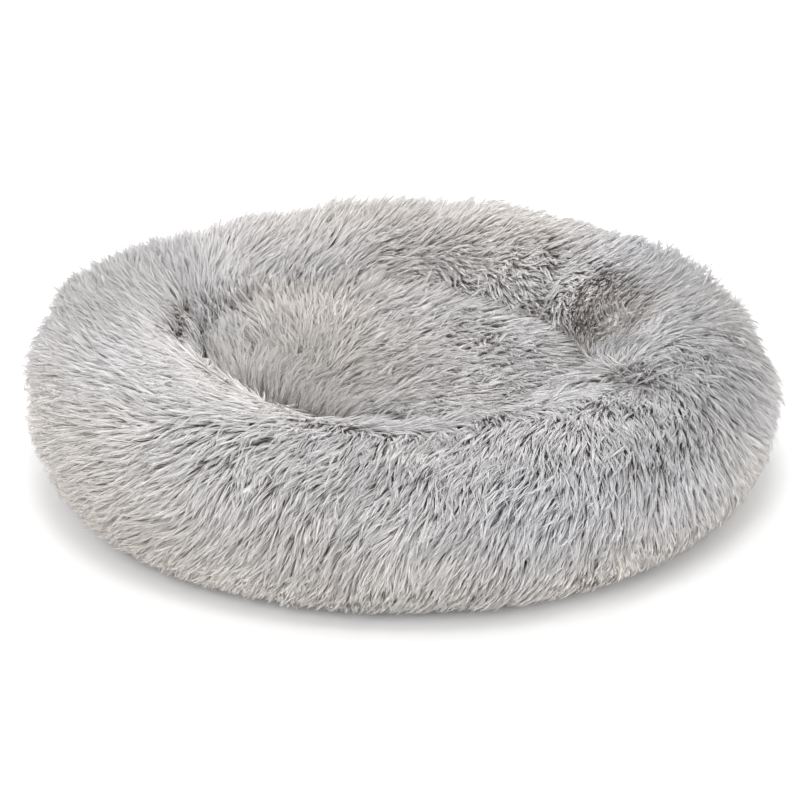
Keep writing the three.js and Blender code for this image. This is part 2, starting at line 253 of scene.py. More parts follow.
SOURCE = (633, 378, 28, 14)           # where the pile of the right crest fans out from
POCKET_END = (614, 325, 17, 14)
END_ON = (604, 314, 42, 44)          # the far right of the hollow, and a slighter spot on the crest


class Ripple:
    """Smooth seeded noise over space, as a sum of waves. Values are about -1 to 1."""

    def __init__(self, seed, shortest, longest, terms=14):
        rng = np.random.default_rng(seed)
        length = np.exp(rng.uniform(math.log(shortest), math.log(longest), terms))
        self.k = unit(rng.normal(size=(terms, 3))) * (2 * math.pi / length)[:, None]
        self.phase = rng.uniform(0, 2 * math.pi, terms)
        self.amp = length ** 0.35
        self.amp /= np.sqrt((self.amp ** 2).sum() / 2) * 1.6

    def __call__(self, p):
        return np.sin(p @ self.k.T + self.phase) @ self.amp


# ------------------------------------------------------------------ sampling
def halton(n, base, start=1):
    i = np.arange(start, start + n, dtype=np.int64)
    f, r = 1.0, np.zeros(n)
    while i.any():
        f /= base
        r += f * (i % base)
        i //= base
    return r


def sampled(n, seed, surface, thin):
    """n points spread over surface(a, b), a and b from 0 to 1, as densely as thin(a, b) asks."""
    rng = np.random.default_rng(seed)
    m = int(n * 4)
    a, b = (halton(m, 2) + rng.random()) % 1, (halton(m, 3) + rng.random()) % 1
    e = 1e-4
    da = (surface(np.clip(a + e, 0, 1), b) - surface(np.clip(a - e, 0, 1), b))
    db = (surface(a, np.clip(b + e, 0, 1)) - surface(a, np.clip(b - e, 0, 1)))
    area = np.linalg.norm(np.cross(da, db), axis=1)
    area = area * thin(a, b)
    keep = rng.random(m) < area / np.quantile(area, 0.995)
    a, b = a[keep][:n], b[keep][:n]
    return a, b


RIM_BUMPS = Ripple(11, 60, 190)
FLOOR_BUMPS = Ripple(12, 60, 160)
SPAN = SEAM_IN - SEAM_OUT


def rim_surface(a, b, inset=SKIN_INSET):
    t, deg = a * 2 * math.pi, SEAM_OUT + b * SPAN
    p = rim_point(t, deg, inset)
    phi = np.radians(deg)
    fade = np.clip((np.sin(phi) + 0.6) / 0.8, 0, 1)
    lump = RIM_BUMPS(p) * 4.0 * fade
    out = np.stack([np.cos(phi) * np.cos(t), np.cos(phi) * np.sin(t), np.sin(phi)], -1)
    return p + out * lump[:, None]


def floor_surface(a, b, inset=SKIN_INSET - 2):
    t, u = a * 2 * math.pi, np.sqrt(b)
    p = floor_point(t, u, inset)
    p[:, 2] += FLOOR_BUMPS(p) * 3.5 * (1 - u ** 6)
    return p


def frame_at(surface, a, b):
    e = 2e-4
    facing = -1.0 if surface is floor_surface else 1.0
    p = surface(a, b)
    pa = surface(a + e, b) - surface(a - e, b)
    pb = surface(a, np.clip(b + e, 0, 1)) - surface(a, np.clip(b - e, 0, 1))
    n = unit(np.cross(pa, pb)) * facing
    return p, n, unit(pa), unit(pb)


# ------------------------------------------------------------------ pile
STATIONS = np.array([0.0, 0.38, 0.74, 1.0])


def grow(roots, normals, comb, length, lift0, lift1, curl, bend, steps=STATIONS):
    """Centre lines: (n, stations, 3). lift is the angle above the cloth at root and tip, curl
    turns the line sideways along its length, and bend is how much the cloth below falls away."""
    side = np.cross(normals, comb)
    lines = [roots]
    for s0, s1 in zip(steps[:-1], steps[1:]):
        s = (s0 + s1) / 2
        lift = (lift0 + (lift1 - lift0) * s - bend * length * s)[:, None]
        turn = (curl * (s - 0.25))[:, None]
        d = np.cos(lift) * (np.cos(turn) * comb + np.sin(turn) * side) + np.sin(lift) * normals
        lines.append(lines[-1] + d * (length * (s1 - s0))[:, None])
    return np.stack(lines, 1)


def strands_to_mesh(name, lines, width, tone, tint, body="root"):
    """Closed, tapered three-sided strands. tone and tint are one number a strand."""
    n, m, _ = lines.shape
    axis = unit(np.gradient(lines, axis=1))
    ref = np.zeros((n, 3)); ref[:, 2] = 1
    flat = np.abs(axis[:, 0, 2]) > 0.9
    ref[flat] = (1, 0, 0)
    u = unit(np.cross(axis, ref[:, None]))
    v = np.cross(axis, u)
    profile = np.array([1.0, 0.92, 0.62])
    rng = np.random.default_rng(len(name) + n)
    spin = rng.uniform(0, 2 * math.pi, n)
    rings = []
    for i in range(m - 1):
        for k in range(3):
            w = spin + k * 2 * math.pi / 3
            off = np.cos(w)[:, None] * u[:, i] + np.sin(w)[:, None] * v[:, i]
            rings.append(lines[:, i] + off * (width * 0.5 * profile[i])[:, None])
    verts = np.stack(rings + [lines[:, -1]], 1)         # n, 3(m-1)+1, 3
    per = verts.shape[1]
    faces = [(0, 2, 1)]
    for i in range(m - 2):
        for k in range(3):
            a, b = 3 * i + k, 3 * i + (k + 1) % 3
            faces += [(a, b, b + 3), (a, b + 3, a + 3)]
    tip = per - 1
    for k in range(3):
        faces.append((3 * (m - 2) + k, 3 * (m - 2) + (k + 1) % 3, tip))
    faces = np.array(faces, np.int32)
    index = (faces[None] + (np.arange(n, dtype=np.int32) * per)[:, None, None]).reshape(-1)
    me = bpy.data.meshes.new(name)
    me.vertices.add(n * per)
    me.vertices.foreach_set("co", (verts * MM).astype(np.float32).ravel())
    f = len(faces) * n
    me.loops.add(3 * f)
    me.loops.foreach_set("vertex_index", index)
    me.polygons.add(f)
    me.polygons.foreach_set("loop_start", np.arange(0, 3 * f, 3, dtype=np.int32))
    me.update(calc_edges=True)
    me.shade_smooth()
    # where each vertex is along its strand, and the strand's shade
    along = np.concatenate([np.repeat(STATIONS[:-1], 3), [1.0]]).astype(np.float32)
    for label, values in (("along", np.tile(along, n)), ("tone", np.repeat(tone, per)), ("tint", np.repeat(tint, per))):
        att = me.attributes.new(label, "FLOAT", "POINT")
        att.data.foreach_set("value", values.astype(np.float32))
    # a map with a small cell for each strand, root to tip across it
    cells = int(math.ceil(math.sqrt(n)))
    cell = 1.0 / cells
    gx, gy = (np.arange(n) % cells) * cell, (np.arange(n) // cells) * cell
    px = np.concatenate([np.repeat(STATIONS[:-1], 3), [1.0]]) * 0.8 + 0.1
    py = np.concatenate([np.tile([0.15, 0.5, 0.85], m - 1), [0.5]])
    uv = np.stack([(gx[:, None] + px * cell), (gy[:, None] + py * cell)], -1).reshape(-1, 2)
    layer = me.uv_layers.new(name="OFBake", do_init=False)
    layer.uv.foreach_set("vector", uv[index].astype(np.float32).ravel())
    ob = bpy.data.objects.new(name, me)
    scene.collection.objects.link(ob)
    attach(ob, body)
    return ob


def clumped(surface, seed, n_clumps, n_strands, fallback, style, falls, thin, comb_table, stir=1.0):
    """Pile over a surface: strands that gather into tufts which share a direction."""
    rng = np.random.default_rng(seed)
    ca, cb = sampled(n_clumps, seed + 1, surface, thin)
    c, cn, cta, ctb = frame_at(surface, ca, cb)
    lift0, lift1, length = style(c, cn, ca, cb, rng)
    comb, agree, kept = combed(c, cn, fallback(c, cn, cta, ctb, ca, cb), comb_table, (lift0 + lift1) / 2)
    # a patch where the pile stands towards the front
    facing = cn @ VIEW_BACK
    ends = blob(front_view(c), *END_ON) * np.clip(facing / 0.2, 0, 1)
    at_viewer = VIEW_BACK - facing[:, None] * cn
    comb = unit(comb * (1 - ends[:, None]) + unit(at_viewer) * ends[:, None])
    bend = falls(comb, cta, ctb, ca, cb)
    swirl, sway = Ripple(seed + 2, 35, 150), Ripple(seed + 3, 14, 40)
    parting = 1 - np.clip((agree - 0.25) / 0.5, 0, 1)
    turn = stir * (0.20 * swirl(c) + 0.20 * sway(c)) + rng.normal(0, 1, len(c)) * (0.17 * stir + 0.25 * parting + 0.5 * blob(front_view(c), *SOURCE) + 0.6 * blob(front_view(c), *POCKET_END) + 0.30 * blob(front_view(c), 700, 350, 58, 40))
    side = np.cross(cn, comb)
    comb = np.cos(turn)[:, None] * comb + np.sin(turn)[:, None] * side
    lift0, lift1 = lift0 * kept, lift1 * kept
    lift0 = lift0 + parting * np.radians(8)
    lift1 = lift1 + parting * np.radians(12)
    length = length * (1 - 0.08 * parting)
    along_view = np.arcsin(np.clip(facing, 0, 1))
    lift0 = lift0 + (along_view + 0.1 - lift0) * ends
    lift1 = lift1 + (along_view - lift1) * ends * 0.9
    length = length * (1 - 0.30 * blob(front_view(c), *END_ON))
    lift0 = lift0 + 0.10 * sway(c + 90)
    source = np.maximum(blob(front_view(c), *SOURCE), blob(front_view(c), *POCKET_END))
    lift0 = lift0 + source * np.radians(rng.normal(10, 8, len(c)))
    lift1 = lift1 + source * np.radians(rng.normal(34, 14, len(c)))
    curl = rng.normal(0, 0.24, len(c)) + 0.22 * swirl(c + 50)
    paths = grow(c, cn, comb, length, lift0, lift1, curl, bend)
    # strands
    a, b = sampled(n_strands, seed + 5, surface, thin)
    p, n, _, _ = frame_at(surface, a, b)
    tree = kdtree.KDTree(len(c))
    for i, q in enumerate(c.tolist()):
        tree.insert(q, i)
    tree.balance()
    jit = rng.normal(0, 0.5, p.shape)
    near = np.fromiter((tree.find(q)[1] for q in (p + jit).tolist()), np.int64, len(p))
    off = p - c[near]
    gather = np.clip(rng.normal(0.82, 0.09, len(p)), 0.35, 0.98) * (1 - 0.75 * parting[near])
    scale = np.clip(rng.normal(0.96, 0.07, len(p)), 0.6, 1.1)
    under = rng.random(len(p)) < 0.14
    scale = np.where(under, scale * 0.66, scale)
    base = paths[near] - c[near][:, None]
    s = STATIONS[None, :, None]
    lines = p[:, None] + base * scale[:, None, None] - off[:, None] * gather[:, None, None] * s
    lines += rng.normal(0, 0.55, (len(p), 1, 3)) * s ** 1.5
    stray = rng.random(len(p)) < 0.018
    lines[stray] += (n[stray] * rng.uniform(1, 5, stray.sum())[:, None])[:, None] * s ** 1.3
    lines[stray] += rng.normal(0, 3.0, (int(stray.sum()), 1, 3)) * s ** 1.5
    clump_tone = rng.normal(0, 1, len(c))
    # random tone by tuft and by strand, and painted light: strands at partings and in the end-on patch are lighter,
    # where the gaps between them fall in shade
    tone = 0.55 * clump_tone[near] + 0.55 * rng.normal(0, 1, len(p)) + 0.35 * ends[near] + 0.5 * parting[near]
    return a, b, p, lines, tone, near


def tuck(lines):
    """Pile low on the outside lies against the bed's side: what stands out past it is drawn in."""
    d = lines[..., :2] - CENTRE
    t, r = np.arctan2(d[..., 1], d[..., 0]), np.hypot(d[..., 0], d[..., 1])
    z, b = lines[..., 2], mid_height(t)
    down = np.clip((b - z) / b, 0, 1)
    reach = half_width(t) + 10 * smooth(z, 12, 80) - 1 * (1 - smooth(z, 5, 40))
    edge = ring_radius(t) + reach * np.clip(1 - down ** LOWER_POWER, 0, 1) ** (1 / LOWER_POWER)
    over = np.where((z < b) & (r > edge), (r - edge) * (0.72 - 0.24 * smooth(-z, -70, -20)) * smooth(b - z, 0, 25), 0)
    lines[..., :2] -= d / np.maximum(r, 1)[..., None] * over[..., None]
    return lines


def press(lines):
    """The crest is pressed: pile that would stand over its highest part is drawn down."""
    z = lines[..., 2]
    lines[..., 2] = np.where(z > 194, 194 + 13 * (1 - np.exp(-(z - 194) / 13)), z)
    return lines


def trim(lines, seed):
    """Strands that would run into the ground are shorter: their tips end just above it."""
    rng = np.random.default_rng(seed)
    root, tip = lines[:, 0, 2], lines[:, -1, 2]
    rest_at = 1.4 + rng.exponential(3.0, len(lines))
    k = np.where(tip < rest_at, np.clip((root - rest_at) / np.maximum(root - tip, 1), 0.3, 1), 1)
    return lines[:, :1] + (lines - lines[:, :1]) * k[:, None, None]


def settle(lines, low):
    """No part of a strand goes below the ground."""
    z = lines[..., 2]
    under = z < low
    lines[..., 2] = np.where(under, low + (low - z) * 0.02, z)
    return lines


# ------------------------------------------------------------------ materials
def material(name):
    m = bpy.data.materials.new(name)
    m.use_nodes = True
    nt = m.node_tree
    return m, nt, nt.nodes["Principled BSDF"]


def pile_material(name, root, mid, tip, warm, cool):
    m, nt, bsdf = material(name)
    N, L = nt.nodes, nt.links

    def attribute(label):
        n = N.new("ShaderNodeAttribute"); n.attribute_name = label
        return n.outputs["Fac"]
    ramp = N.new("ShaderNodeValToRGB")
    ramp.color_ramp.elements[0].color = (*root, 1)
    ramp.color_ramp.elements[1].color = (*tip, 1)
    e = ramp.color_ramp.elements.new(0.45); e.color = (*mid, 1)
    L.new(attribute("along"), ramp.inputs["Fac"])
    # per-strand shade
    tone = N.new("ShaderNodeMapRange")
    tone.inputs["From Min"].default_value, tone.inputs["From Max"].default_value = -5.0, 2.5
    tone.inputs["To Min"].default_value, tone.inputs["To Max"].default_value = 0.58, 1.18
    L.new(attribute("tone"), tone.inputs["Value"])
    shade = N.new("ShaderNodeVectorMath"); shade.operation = "SCALE"
    L.new(ramp.outputs["Color"], shade.inputs[0]); L.new(tone.outputs["Result"], shade.inputs["Scale"])
    tint = N.new("ShaderNodeMix"); tint.data_type = "RGBA"
    tint.inputs["A"].default_value, tint.inputs["B"].default_value = (*cool, 1), (*warm, 1)
    L.new(attribute("tint"), tint.inputs["Factor"])
    mul = N.new("ShaderNodeMix"); mul.data_type = "RGBA"; mul.blend_type = "MULTIPLY"
    mul.inputs["Factor"].default_value = 1
    L.new(shade.outputs["Vector"], mul.inputs["A"]); L.new(tint.outputs["Result"], mul.inputs["B"])
    L.new(mul.outputs["Result"], bsdf.inputs["Base Color"])
    bsdf.inputs["Roughness"].default_value = 0.6
    bsdf.inputs["Specular IOR Level"].default_value = 0.2
    bsdf.inputs["Sheen Weight"].default_value = 0.1
    bsdf.inputs["Sheen Roughness"].default_value = 0.5
    return m


# painted light: the strands' roots are lighter than their tips, standing in for the light that spreads down into the
# pile
PILE = pile_material("pile", (0.82, 0.775, 0.74), (0.77, 0.755, 0.745), (0.735, 0.725, 0.72), (1.04, 1.0, 0.95), (0.975, 0.99, 1.03))


def backing_material(name, dark, light):
    m, nt, bsdf = material(name)
    N, L = nt.nodes, nt.links
    co = N.new("ShaderNodeTexCoord")
    noise = N.new("ShaderNodeTexNoise"); noise.inputs["Scale"].default_value = 900; noise.inputs["Detail"].default_value = 4
    L.new(co.outputs["Object"], noise.inputs["Vector"])
    mix = N.new("ShaderNodeMix"); mix.data_type = "RGBA"
    mix.inputs["A"].default_value, mix.inputs["B"].default_value = (*dark, 1), (*light, 1)
    L.new(noise.outputs["Fac"], mix.inputs["Factor"])
    L.new(mix.outputs["Result"], bsdf.inputs["Base Color"])
    bsdf.inputs["Roughness"].default_value = 0.95
    return m


BACKING = backing_material("backing", (0.46, 0.42, 0.395), (0.62, 0.58, 0.555))


# ------------------------------------------------------------------ skins
def grid_mesh(name, loops, close_u=True, close_v=True):
    """A mesh through a (nu, nv, 3) array of points in mm."""
    nu, nv, _ = loops.shape
    i = np.arange(nu if close_u else nu - 1)
    j = np.arange(nv if close_v else nv - 1)
    I, J = np.meshgrid(i, j, indexing="ij")
    I2, J2 = (I + 1) % nu, (J + 1) % nv
    faces = np.stack([I * nv + J, I2 * nv + J, I2 * nv + J2, I * nv + J2], -1).reshape(-1, 4)
    me = bpy.data.meshes.new(name)
    me.from_pydata((loops.reshape(-1, 3) * MM).tolist(), [], faces.tolist())
    me.update()
    me.shade_smooth()
    ob = bpy.data.objects.new(name, me)
    scene.collection.objects.link(ob)
    return ob


def rim_shell(name, inset, thick, nt_=192, nd=96):
    t = np.linspace(0, 1, nt_, endpoint=False)
    b = np.linspace(0, 1, nd)
    T, B = np.meshgrid(t, b, indexing="ij")
    outer = rim_surface(T.ravel(), B.ravel(), inset).reshape(nt_, nd, 3)
    inner = rim_surface(T.ravel(), B.ravel(), inset + thick).reshape(nt_, nd, 3)
    return grid_mesh(name, np.concatenate([outer, inner[:, ::-1]], 1))


skin = rim_shell("rim_cover_cloth", SKIN_INSET, 1.6)
skin.data.materials.append(BACKING)
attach(skin, "root"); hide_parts("rim_cover")

t = np.linspace(0, 1, 160, endpoint=False)
u = np.concatenate([np.linspace(0.02, 0.9, 26), np.linspace(0.91, 1, 14)])
T, U = np.meshgrid(t, u, indexing="ij")
top = floor_surface(T.ravel(), (U ** 2).ravel(), SKIN_INSET - 2).reshape(160, 40, 3)
low = floor_surface(T.ravel(), (U ** 2).ravel(), SKIN_INSET - 0.4).reshape(160, 40, 3)
floor_skin = grid_mesh("centre_cover_cloth", np.concatenate([top, low[:, ::-1]], 1))
floor_skin.data.materials.append(BACKING)
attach(floor_skin, "root"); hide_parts("floor_cover")


# ------------------------------------------------------------------ the rim's pile
def rim_fallback(p, n, ta, tb, a, b):
    swing = 0.35 * np.sin(2 * math.pi * a * 2 + 0.6)
    d = -tb + swing[:, None] * ta
    return unit(d)


def rim_style(p, n, a, b, rng):
    m = len(p)
    deg = SEAM_OUT + b * SPAN
    under = np.clip((-44 - deg) / 20, 0, 1)          # below the bulge, pressed against the ground
    flat = blob(front_view(p), 602, 350, 66, 32)
    lift0 = np.radians(rng.normal(59, 7, m) - 43 * under - 24 * flat)
    lift1 = np.radians(rng.normal(21, 9, m) - 15 * under - 26 * flat)
    length = np.clip(rng.normal(35.5, 5, m), 22, 48) * (1 - 0.22 * under) * (1 - 0.34 * blob(front_view(p), 606, 346, 52, 28)) * (1 + 0.22 * smooth(deg, 168, 192))
    return lift0, lift1, length


def rim_falls(comb, ta, tb, a, b):
    t, phi = a * 2 * math.pi, np.radians(SEAM_OUT + b * SPAN)
    along, around = (comb * tb).sum(1), (comb * ta).sum(1)
    r = rim_rz(t, np.degrees(phi), SKIN_INSET)[0]
    return along ** 2 / (half_width(t) - 4) + around ** 2 * np.cos(phi) / r


def rim_thin(a, b):
    deg = SEAM_OUT + b * SPAN
    return np.where(deg < -48, 0.5, 1.0)


def floor_fallback(p, n, ta, tb, a, b):
    return unit(np.cross(n, np.array([0.3, 1.0, 0.0])[None]) + 0 * p)


def floor_style(p, n, a, b, rng):
    m = len(p)
    edge = smooth(np.sqrt(b), 0.70, 0.96)
    lift0 = np.radians(rng.normal(50, 8, m) + 18 * edge)
    lift1 = np.radians(rng.normal(10, 10, m) + 34 * edge)
    length = np.clip(rng.normal(33, 5, m), 22, 44) * (1 + 0.30 * edge)
    return lift0, lift1, length


def floor_falls(comb, ta, tb, a, b):
    return np.full(len(comb), 0.002)


def floor_thin(a, b):
    return np.ones(len(a))


DENSITY = 1.0


def shade_of(p, tone, seed, floor=False):
    """tone and tint of strands by place: warmer low down, on the left front and on the far crest, cooler on the right.
    The tone also carries painted shade (darker strands on the floor of the hollow, in its far right pocket, on the
    right, on the upper left and along the near crest) and painted light (lighter strands on the rear crest, above the
    pocket and low at the front)."""
    broad = Ripple(seed, 90, 300)
    x, y, z = (p - np.array([CENTRE[0], CENTRE[1], 0])).T
    left = smooth(-x, 120, 330) * (1 - 0.85 * smooth(y, -60, 100))
    low_left = smooth(-x, 0, 190) * smooth(-y, 70, 210)
    low = smooth(-z, -125, -25)
    tint = (0.27 + 0.16 * left + 0.46 * low + 0.34 * low_left * smooth(-z, -185, -110)
            + 0.42 * smooth(y, 90, 220) * smooth(z, 80, 140) * (1 - 0.5 * smooth(-x, 60, 200))
            - 0.10 * smooth(x, 60, 250) * (1 - smooth(-z, -120, -70)) + 0.15 * smooth(x, 280, 340)
            + 0.16 * smooth(x, 60, 200) * low + 0.10 * broad(p) + (0.06 if floor else 0))
    tone = tone + 0.35 * broad(p + 30)
    if floor:
        # painted shade: the floor's strands are made darker all over, most at the left of the hollow and in its middle,
        # less towards the back
        dark = 0.6 + 3.3 * np.exp(-((x + 95) / 60) ** 2) + 1.6 * np.exp(-((x + 10) / 60) ** 2)
        tone = tone - dark * (1 - 0.7 * smooth(y, 10, 110))
        tint = tint - 0.12 + 0.32 * np.exp(-((x + 100) / 65) ** 2)
    else:
        spot = blob(front_view(p), *END_ON)
        tint = tint + 0.30 * spot
        # painted shade: the strands in the far right pocket of the hollow are darker; painted light: the strands on the
        # far inner wall above it are lighter
        tone = tone - 3.4 * blob(front_view(p), 596, 344, 38, 31) + 1.2 * blob(front_view(p), 510, 280, 45, 30) + 2.2 * blob(front_view(p), 588, 288, 46, 30)
        # painted light: the strands on the top of the rear crest are lighter
        tone = tone + 1.1 * smooth(y, 130, 240) * smooth(z, 120, 165) * smooth(-np.abs(x - 20), -190, -110)
        # painted shade: the right side is darker above mid height, and the top of the right crest towards the front
        # more so
        tone = tone - 0.5 * smooth(x, 240, 330) * smooth(z, 60, 120) - 2.3 * smooth(x, 165, 245) * smooth(z, 110, 145) * (1 - smooth(y, 60, 170))
        # painted shade: darker strands on the upper left of the bed and low on its front left
        tone = tone - 2.1 * blob(front_view(p), 96, 286, 116, 76) - 1.1 * blob(front_view(p), 322, 528, 70, 40)
        # painted shade: darker strands along the near crest and on the front face just below it
        tone = tone - 1.2 * blob(front_view(p), 470, 402, 100, 28) - 1.2 * blob(front_view(p), 400, 458, 170, 38)
        # painted light: lighter strands low on the front, at the left and at the right
        tone = tone + 1.2 * blob(front_view(p), 230, 580, 80, 34) + 1.9 * blob(front_view(p), 590, 575, 70, 34)
    return np.clip(tone, -5, 2.5), np.clip(tint, 0, 1)


a, b, p, lines, tone, near = clumped(rim_surface, 100, int(47000), int(212000 * DENSITY), rim_fallback, rim_style, rim_falls, rim_thin, RIM_COMB)
lines = press(settle(trim(tuck(lines), 91), 1.2))
tone, tint = shade_of(p, tone, 77)
order = np.argsort(a, kind="stable")
SECTORS = 18
for k, part in enumerate(np.array_split(order, SECTORS)):
    w = np.random.default_rng(500 + k).normal(1.0, 0.16, len(part)).clip(0.6, 1.5)
    ob = strands_to_mesh(f"rim_pile_{k + 1:02d}", lines[part], w * 0.92, tone[part], tint[part])
    ob.data.materials.append(PILE)

a, b, p, lines, tone, near = clumped(floor_surface, 200, int(8200), int(38000 * DENSITY), floor_fallback, floor_style, floor_falls, floor_thin, FLOOR_COMB, 2.0)
lines = settle(lines, 1.2)
tone, tint = shade_of(p, tone, 77, floor=True)
order = np.argsort(a, kind="stable")
for k, part in enumerate(np.array_split(order, 4)):
    w = np.random.default_rng(600 + k).normal(1.0, 0.16, len(part)).clip(0.6, 1.5)
    ob = strands_to_mesh(f"centre_pile_{k + 1:02d}", lines[part], w * 0.92, tone[part], tint[part])
    ob.data.materials.append(PILE)

# ------------------------------------------------------------------ the pieces under the pile
def tidy(ob):
    """Welds, drops zero faces and turns normals outwards."""
    bm = bmesh.new()
    bm.from_mesh(ob.data)
    bmesh.ops.remove_doubles(bm, verts=bm.verts, dist=1e-5)
    bmesh.ops.dissolve_degenerate(bm, edges=bm.edges, dist=1e-6)
    bmesh.ops.recalc_face_normals(bm, faces=bm.faces)
    bm.to_mesh(ob.data)
    bm.free()
    ob.data.shade_smooth()
    return ob


def add(ob, body, slot, *nodes):
    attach(ob, body)
    if nodes:
        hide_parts(*nodes)
    return ob


def ring_grid(name, rz, nt_, lump=None, close_v=True):
    """Sweeps the section rz(t) -> (r, z), each (len(t), m), round the ring."""
    t = np.linspace(0, 2 * math.pi, nt_, endpoint=False)
    r, z = rz(t[:, None])
    r, z = np.broadcast_arrays(r, z)
    pts = np.stack([r * np.cos(t)[:, None] + CENTRE[0], r * np.sin(t)[:, None] + CENTRE[1], z], -1)
    if lump is not None:
        pts = lump(pts, t)
    return tidy(grid_mesh(name, pts, close_v=close_v))


def joined(name, parts):
    """One mesh from (vertices, faces) pairs, in mm."""
    verts, faces, base = [], [], 0
    for v, f in parts:
        verts.append(np.asarray(v, float))
        faces += [tuple(int(i) + base for i in g) for g in f]
        base += len(v)
    me = bpy.data.meshes.new(name)
    me.from_pydata((np.concatenate(verts) * MM).tolist(), [], faces)
    me.update()
    me.shade_smooth()
    ob = bpy.data.objects.new(name, me)
    scene.collection.objects.link(ob)
    return ob


def loft(path, radius, sides=6, flat=1.0, up=(0, 0, 1)):
    """A closed round bar along a path of points: (vertices, faces)."""
    path = np.asarray(path, float)
    n = len(path)
    tan = unit(np.gradient(path, axis=0))
    up = np.asarray(up, float)
    u = unit(np.cross(tan, up) + 1e-6)
    v = np.cross(u, tan)
    w = np.arange(sides) * 2 * math.pi / sides
    rad = np.broadcast_to(np.asarray(radius, float), (n,))
    ring = path[:, None] + rad[:, None, None] * (np.cos(w)[None, :, None] * u[:, None] + flat * np.sin(w)[None, :, None] * v[:, None])
    verts = ring.reshape(-1, 3)
    faces = []
    for i in range(n - 1):
        for k in range(sides):
            a, b = i * sides + k, i * sides + (k + 1) % sides
            faces.append((a, b, b + sides, a + sides))
    faces.append(tuple(range(sides))[::-1])
    faces.append(tuple(range((n - 1) * sides, n * sides)))
    return verts, faces


# liner of the rim: thin cloth, drawn into small puckers along its seam under the rim
def rim_liner_section(t):
    deg = np.linspace(-88, 268, 120)
    r0, z0 = rim_rz(t, deg[None], 16.6, 2.2)
    r1, z1 = rim_rz(t, deg[None], 17.8, 3.4)
    return np.concatenate([r0, r1[:, ::-1]], 1), np.concatenate([z0, z1[:, ::-1]], 1)


def puckers(pts, t, amount=0.9, count=150):
    """Draws points slightly inwards in folds that die out away from the seam under the rim."""
    centre = np.stack([ring_radius(t) * np.cos(t) + CENTRE[0], ring_radius(t) * np.sin(t) + CENTRE[1], mid_height(t)], -1)[:, None]
    d = pts - centre
    low = smooth(-(pts[..., 2] - 60), 0, 55)
    wave_ = 0.5 + 0.5 * np.sin(count * t + 2.2 * np.sin(7 * t))[:, None]
    wander = 0.5 + 0.5 * np.tanh(RIM_BUMPS(pts.reshape(-1, 3) * 2.3).reshape(pts.shape[:2]))
    return pts - unit(d) * (amount * low * wave_ + 0.5 * wander)[..., None]


rim_liner = add(ring_grid("rim_liner_cloth", rim_liner_section, 600, puckers), "root", "liner_cloth", "rim_liner")


def fluff(seed, amount):
    bumps, fine = Ripple(seed, 45, 130), Ripple(seed + 1, 12, 30)

    def move(pts, t):
        centre = np.stack([ring_radius(t) * np.cos(t) + CENTRE[0], ring_radius(t) * np.sin(t) + CENTRE[1], mid_height(t)], -1)[:, None]
        flat = pts.reshape(-1, 3)
        h = amount * (0.55 + 0.30 * np.tanh(bumps(flat)) + 0.15 * np.tanh(fine(flat))).reshape(pts.shape[:2])
        return pts - unit(pts - centre) * h[..., None]
    return move


def rim_fill_section(t):
    return rim_rz(t, np.linspace(-180, 180, 100, endpoint=False)[None], 18.6, 4.2)


rim_fill = add(ring_grid("rim_filling", rim_fill_section, 320, fluff(31, 5.0)), "root", "fibre_filling", "rim_fill")


# the centre cushion's casing and filling
def cushion_side(t, i):
    ar, az = rim_rz(t, 216.0, 15.0, 1.0)
    br, bz = rim_rz(t, 234.0, 15.0, 1.0)
    cr = crease_z(t)
    r = np.concatenate([br + 4 - 2.25 * i, br - 0.74 * i, ar - 1 - 0.64 * i, floor_edge(t) - 0.48 * i], 1)
    z = np.concatenate([0 * br + 8.4 + i, bz + 1 - 0.67 * i, az - 0.77 * i, cr - 5.5 - 0.88 * i], 1)
    return r, z


def resampled(r, z, n):
    """n points along each section polyline."""
    out_r, out_z = [], []
    for a, b in zip(r, z):
        s_ = np.concatenate([[0], np.cumsum(np.hypot(np.diff(a), np.diff(b)))])
        q = np.linspace(0, s_[-1], n)
        out_r.append(np.interp(q, s_, a)); out_z.append(np.interp(q, s_, b))
    return np.array(out_r), np.array(out_z)


def crown_rz(t, inset, u):
    low = crease_z(t) + 2.6
    return u * (floor_edge(t) - inset), low + (FLOOR_TOP - inset - low) * np.sqrt(np.clip(1 - u ** 5, 0, 1))


def casing_path(t, i, hole):
    sr, sz = cushion_side(t, i)
    u = np.array([0.995, 0.98, 0.95, 0.9, 0.82, 0.7, 0.55, 0.4, 0.25, 0.1, 0.0])[None]
    cr, cz = crown_rz(t, 14.8 + i, u)
    one = np.ones_like(t)
    r = np.concatenate([one * hole, one * 90, one * 150, sr, cr], 1)
    z = np.concatenate([one * (8.4 + i), one * (8.4 + i), one * (8.4 + i), sz, cz], 1)
    return resampled(r, z, 90)


def casing_section(t):
    r0, z0 = casing_path(t, 0.0, 20.0)
    r1, z1 = casing_path(t, 1.2, 20.0)
    return np.concatenate([r0, r1[:, ::-1]], 1), np.concatenate([z0, z1[:, ::-1]], 1)


def cushion_puckers(pts, t):
    c = np.array([CENTRE[0], CENTRE[1], 45.0])
    d = pts - c
    r = np.hypot(d[..., 0], d[..., 1])
    near_seam = smooth(r, 120, 190)
    fold = 0.5 + 0.5 * np.sin(96 * t + 1.8 * np.sin(5 * t))[:, None]
    out = pts.copy()
    scale = 1 - (1.3 * near_seam * fold) / np.maximum(r, 30)
    out[..., :2] = CENTRE + d[..., :2] * scale[..., None]
    return out


centre_liner = add(ring_grid("centre_liner_cloth", casing_section, 480, cushion_puckers), "root", "liner_cloth", "floor_liner")


